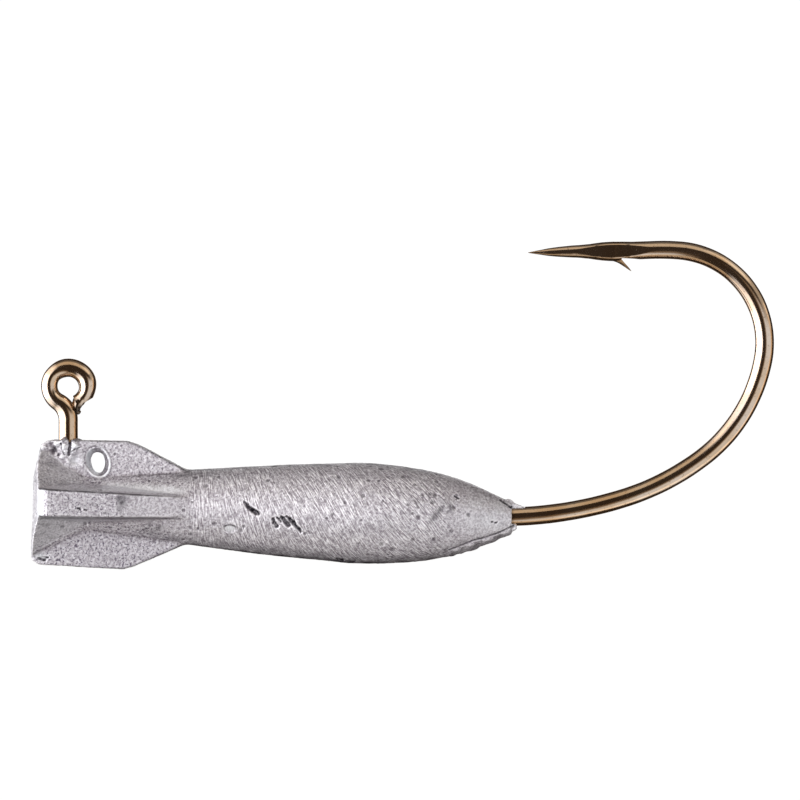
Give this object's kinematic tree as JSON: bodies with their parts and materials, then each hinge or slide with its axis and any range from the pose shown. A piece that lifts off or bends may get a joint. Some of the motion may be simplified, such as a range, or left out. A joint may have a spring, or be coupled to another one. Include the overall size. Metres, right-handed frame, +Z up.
{
  "type": "jig head",
  "caption": "Finned, bomb-shaped cast lead jig head moulded on a round-bend barbed hook, with a closed wire eye standing up from its upper fin.",
  "frame": {"origin": "centre of the line eye, in the plane of the hook's wire", "axes": "+X along the head from its finned front end to the hook's bend; +Y across the hook's plane, to the far side; +Z up, from the head towards the hook's point"},
  "size_m": [0.0714, 0.0118, 0.0338],
  "materials": {
    "bronzed_wire": "bright round steel wire under a thin bronze lacquer",
    "cast_lead": "unpainted cast lead, satin grey with fine casting grain"
  },
  "bodies": {
    "root": {"hook": "bronzed_wire", "lead_head": "cast_lead"}
  },
  "joints": []
}
